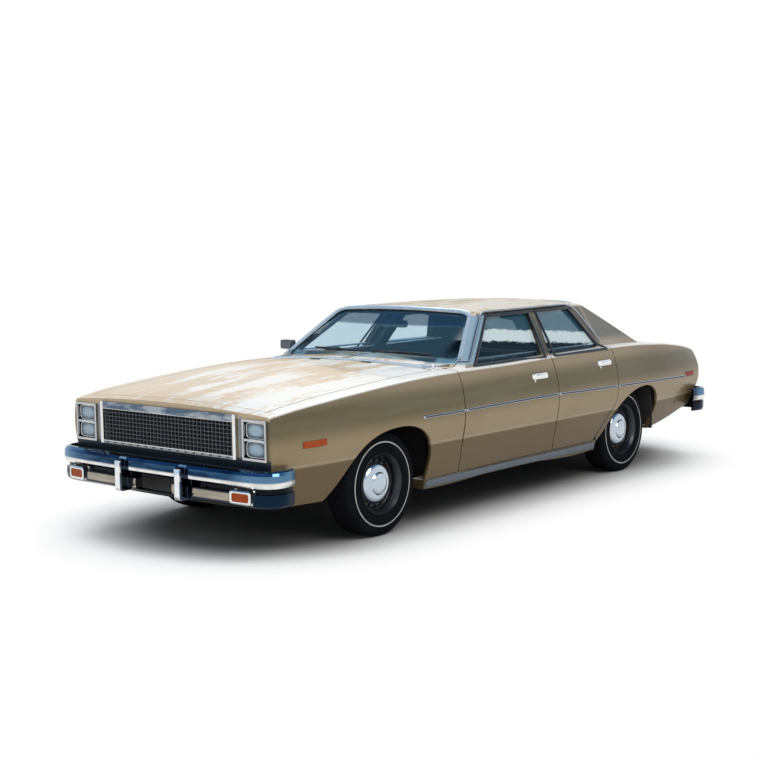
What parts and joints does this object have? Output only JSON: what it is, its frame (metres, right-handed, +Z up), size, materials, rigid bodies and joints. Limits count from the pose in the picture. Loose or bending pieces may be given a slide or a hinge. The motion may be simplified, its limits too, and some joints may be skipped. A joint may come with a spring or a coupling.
{
  "type": "full-size car",
  "caption": "full-size four-door saloon car with opening doors, hood and trunk lid, steered front wheels and free-rolling wheels",
  "frame": {"origin": "on the floor, at the middle of the car's length and width", "axes": "+X forward, +Y to the car's left, +Z up"},
  "size_m": [5.5, 1.9804, 1.3883],
  "materials": {
    "amber_lens": "amber lens",
    "black_metal": "dark running gear",
    "body_paint": "metallic beige-gold, clear coated",
    "chrome": "bright plated",
    "dash_plastic": "dark blue-green",
    "exhaust_metal": "dull steel",
    "grille_dark": "dark egg-crate in bright frame",
    "interior_blue": "dark blue-green cloth",
    "lamp_glass": "clear sealed-beam lens",
    "red_lens": "red lens",
    "tyre_rubber": "black with one thin white stripe",
    "underbody_black": "black underseal",
    "wheel_black": "gloss black steel wheel",
    "window_glass": "blue tint"
  },
  "bodies": {
    "car": {"body_shell": "body_paint", "dashboard": "dash_plastic", "driveline": "black_metal", "engine": "black_metal", "exhaust": "exhaust_metal", "front_bumper": "chrome", "front_fender_left": "body_paint", "front_fender_right": "body_paint", "front_frame": "underbody_black", "front_seat": "interior_blue", "front_suspension": "black_metal", "fuel_tank": "exhaust_metal", "grille": "grille_dark", "headlamp_bezels": "chrome", "headlamps": "lamp_glass", "leaf_springs": "black_metal", "nose_panel": "body_paint", "rear_axle": "black_metal", "rear_bumper": "chrome", "rear_seat": "interior_blue", "rear_window": "window_glass", "tail_lamps": "red_lens", "turn_and_marker_lamps": "amber_lens", "underbody": "underbody_black", "windshield": "window_glass"},
    "front_door_left": {"front_door_left": "body_paint", "front_door_glass_left": "window_glass"},
    "front_door_right": {"front_door_right": "body_paint", "front_door_glass_right": "window_glass", "door_mirror": "chrome"},
    "rear_door_left": {"rear_door_left": "body_paint", "rear_door_glass_left": "window_glass"},
    "rear_door_right": {"rear_door_right": "body_paint", "rear_door_glass_right": "window_glass"},
    "hood": {"hood": "body_paint"},
    "trunk_lid": {"trunk_lid": "body_paint"},
    "steering_wheel": {"steering_wheel": "dash_plastic"},
    "knuckle_left": {"knuckle_left": "black_metal"},
    "wheel_front_left": {"wheel_front_left": "wheel_black", "tyre_front_left": "tyre_rubber"},
    "wheel_rear_left": {"wheel_rear_left": "wheel_black", "tyre_rear_left": "tyre_rubber"},
    "knuckle_right": {"knuckle_right": "black_metal"},
    "wheel_front_right": {"wheel_front_right": "wheel_black", "tyre_front_right": "tyre_rubber"},
    "wheel_rear_right": {"wheel_rear_right": "wheel_black", "tyre_rear_right": "tyre_rubber"}
  },
  "joints": [
    {"name": "front_door_left_hinge", "type": "hinge", "parent": "car", "child": "front_door_left", "pos_m": [0.728, 0.948, 0.6], "axis": [0, 0, -1], "range_deg": [0, 66]},
    {"name": "front_door_right_hinge", "type": "hinge", "parent": "car", "child": "front_door_right", "pos_m": [0.728, -0.948, 0.6], "axis": [0, 0, 1], "range_deg": [0, 66]},
    {"name": "rear_door_left_hinge", "type": "hinge", "parent": "car", "child": "rear_door_left", "pos_m": [-0.4175, 0.948, 0.6], "axis": [0, 0, -1], "range_deg": [0, 66]},
    {"name": "rear_door_right_hinge", "type": "hinge", "parent": "car", "child": "rear_door_right", "pos_m": [-0.4175, -0.948, 0.6], "axis": [0, 0, 1], "range_deg": [0, 66]},
    {"name": "hood_hinge", "type": "hinge", "parent": "car", "child": "hood", "pos_m": [0.72, 0, 0.92], "axis": [0, -1, 0], "range_deg": [0, 48]},
    {"name": "trunk_hinge", "type": "hinge", "parent": "car", "child": "trunk_lid", "pos_m": [-1.78, 0, 0.9], "axis": [0, 1, 0], "range_deg": [0, 62]},
    {"name": "steer_left", "type": "hinge", "parent": "car", "child": "knuckle_left", "pos_m": [1.5625, 0.7, 0.34], "axis": [0, 0, 1], "range_deg": [-30, 30]},
    {"name": "wheel_front_left_spin", "type": "hinge", "parent": "knuckle_left", "child": "wheel_front_left", "pos_m": [1.5625, 0.8, 0.338], "axis": [0, 1, 0], "continuous": true},
    {"name": "wheel_rear_left_spin", "type": "hinge", "parent": "car", "child": "wheel_rear_left", "pos_m": [-1.4225, 0.8, 0.338], "axis": [0, 1, 0], "continuous": true},
    {"name": "steer_right", "type": "hinge", "parent": "car", "child": "knuckle_right", "pos_m": [1.5625, -0.7, 0.34], "axis": [0, 0, 1], "range_deg": [-30, 30]},
    {"name": "wheel_front_right_spin", "type": "hinge", "parent": "knuckle_right", "child": "wheel_front_right", "pos_m": [1.5625, -0.8, 0.338], "axis": [0, 1, 0], "continuous": true},
    {"name": "wheel_rear_right_spin", "type": "hinge", "parent": "car", "child": "wheel_rear_right", "pos_m": [-1.4225, -0.8, 0.338], "axis": [0, 1, 0], "continuous": true},
    {"name": "steering_wheel_turn", "type": "hinge", "parent": "car", "child": "steering_wheel", "pos_m": [0.49, -0.38, 0.905], "axis": [-0.9135, 0, 0.4067], "range_deg": [-500, 500]}
  ],
  "couplings": [
    {"joint": "steer_right", "follows": "steer_left", "ratio": 1},
    {"joint": "steering_wheel_turn", "follows": "steer_left", "ratio": 16}
  ]
}
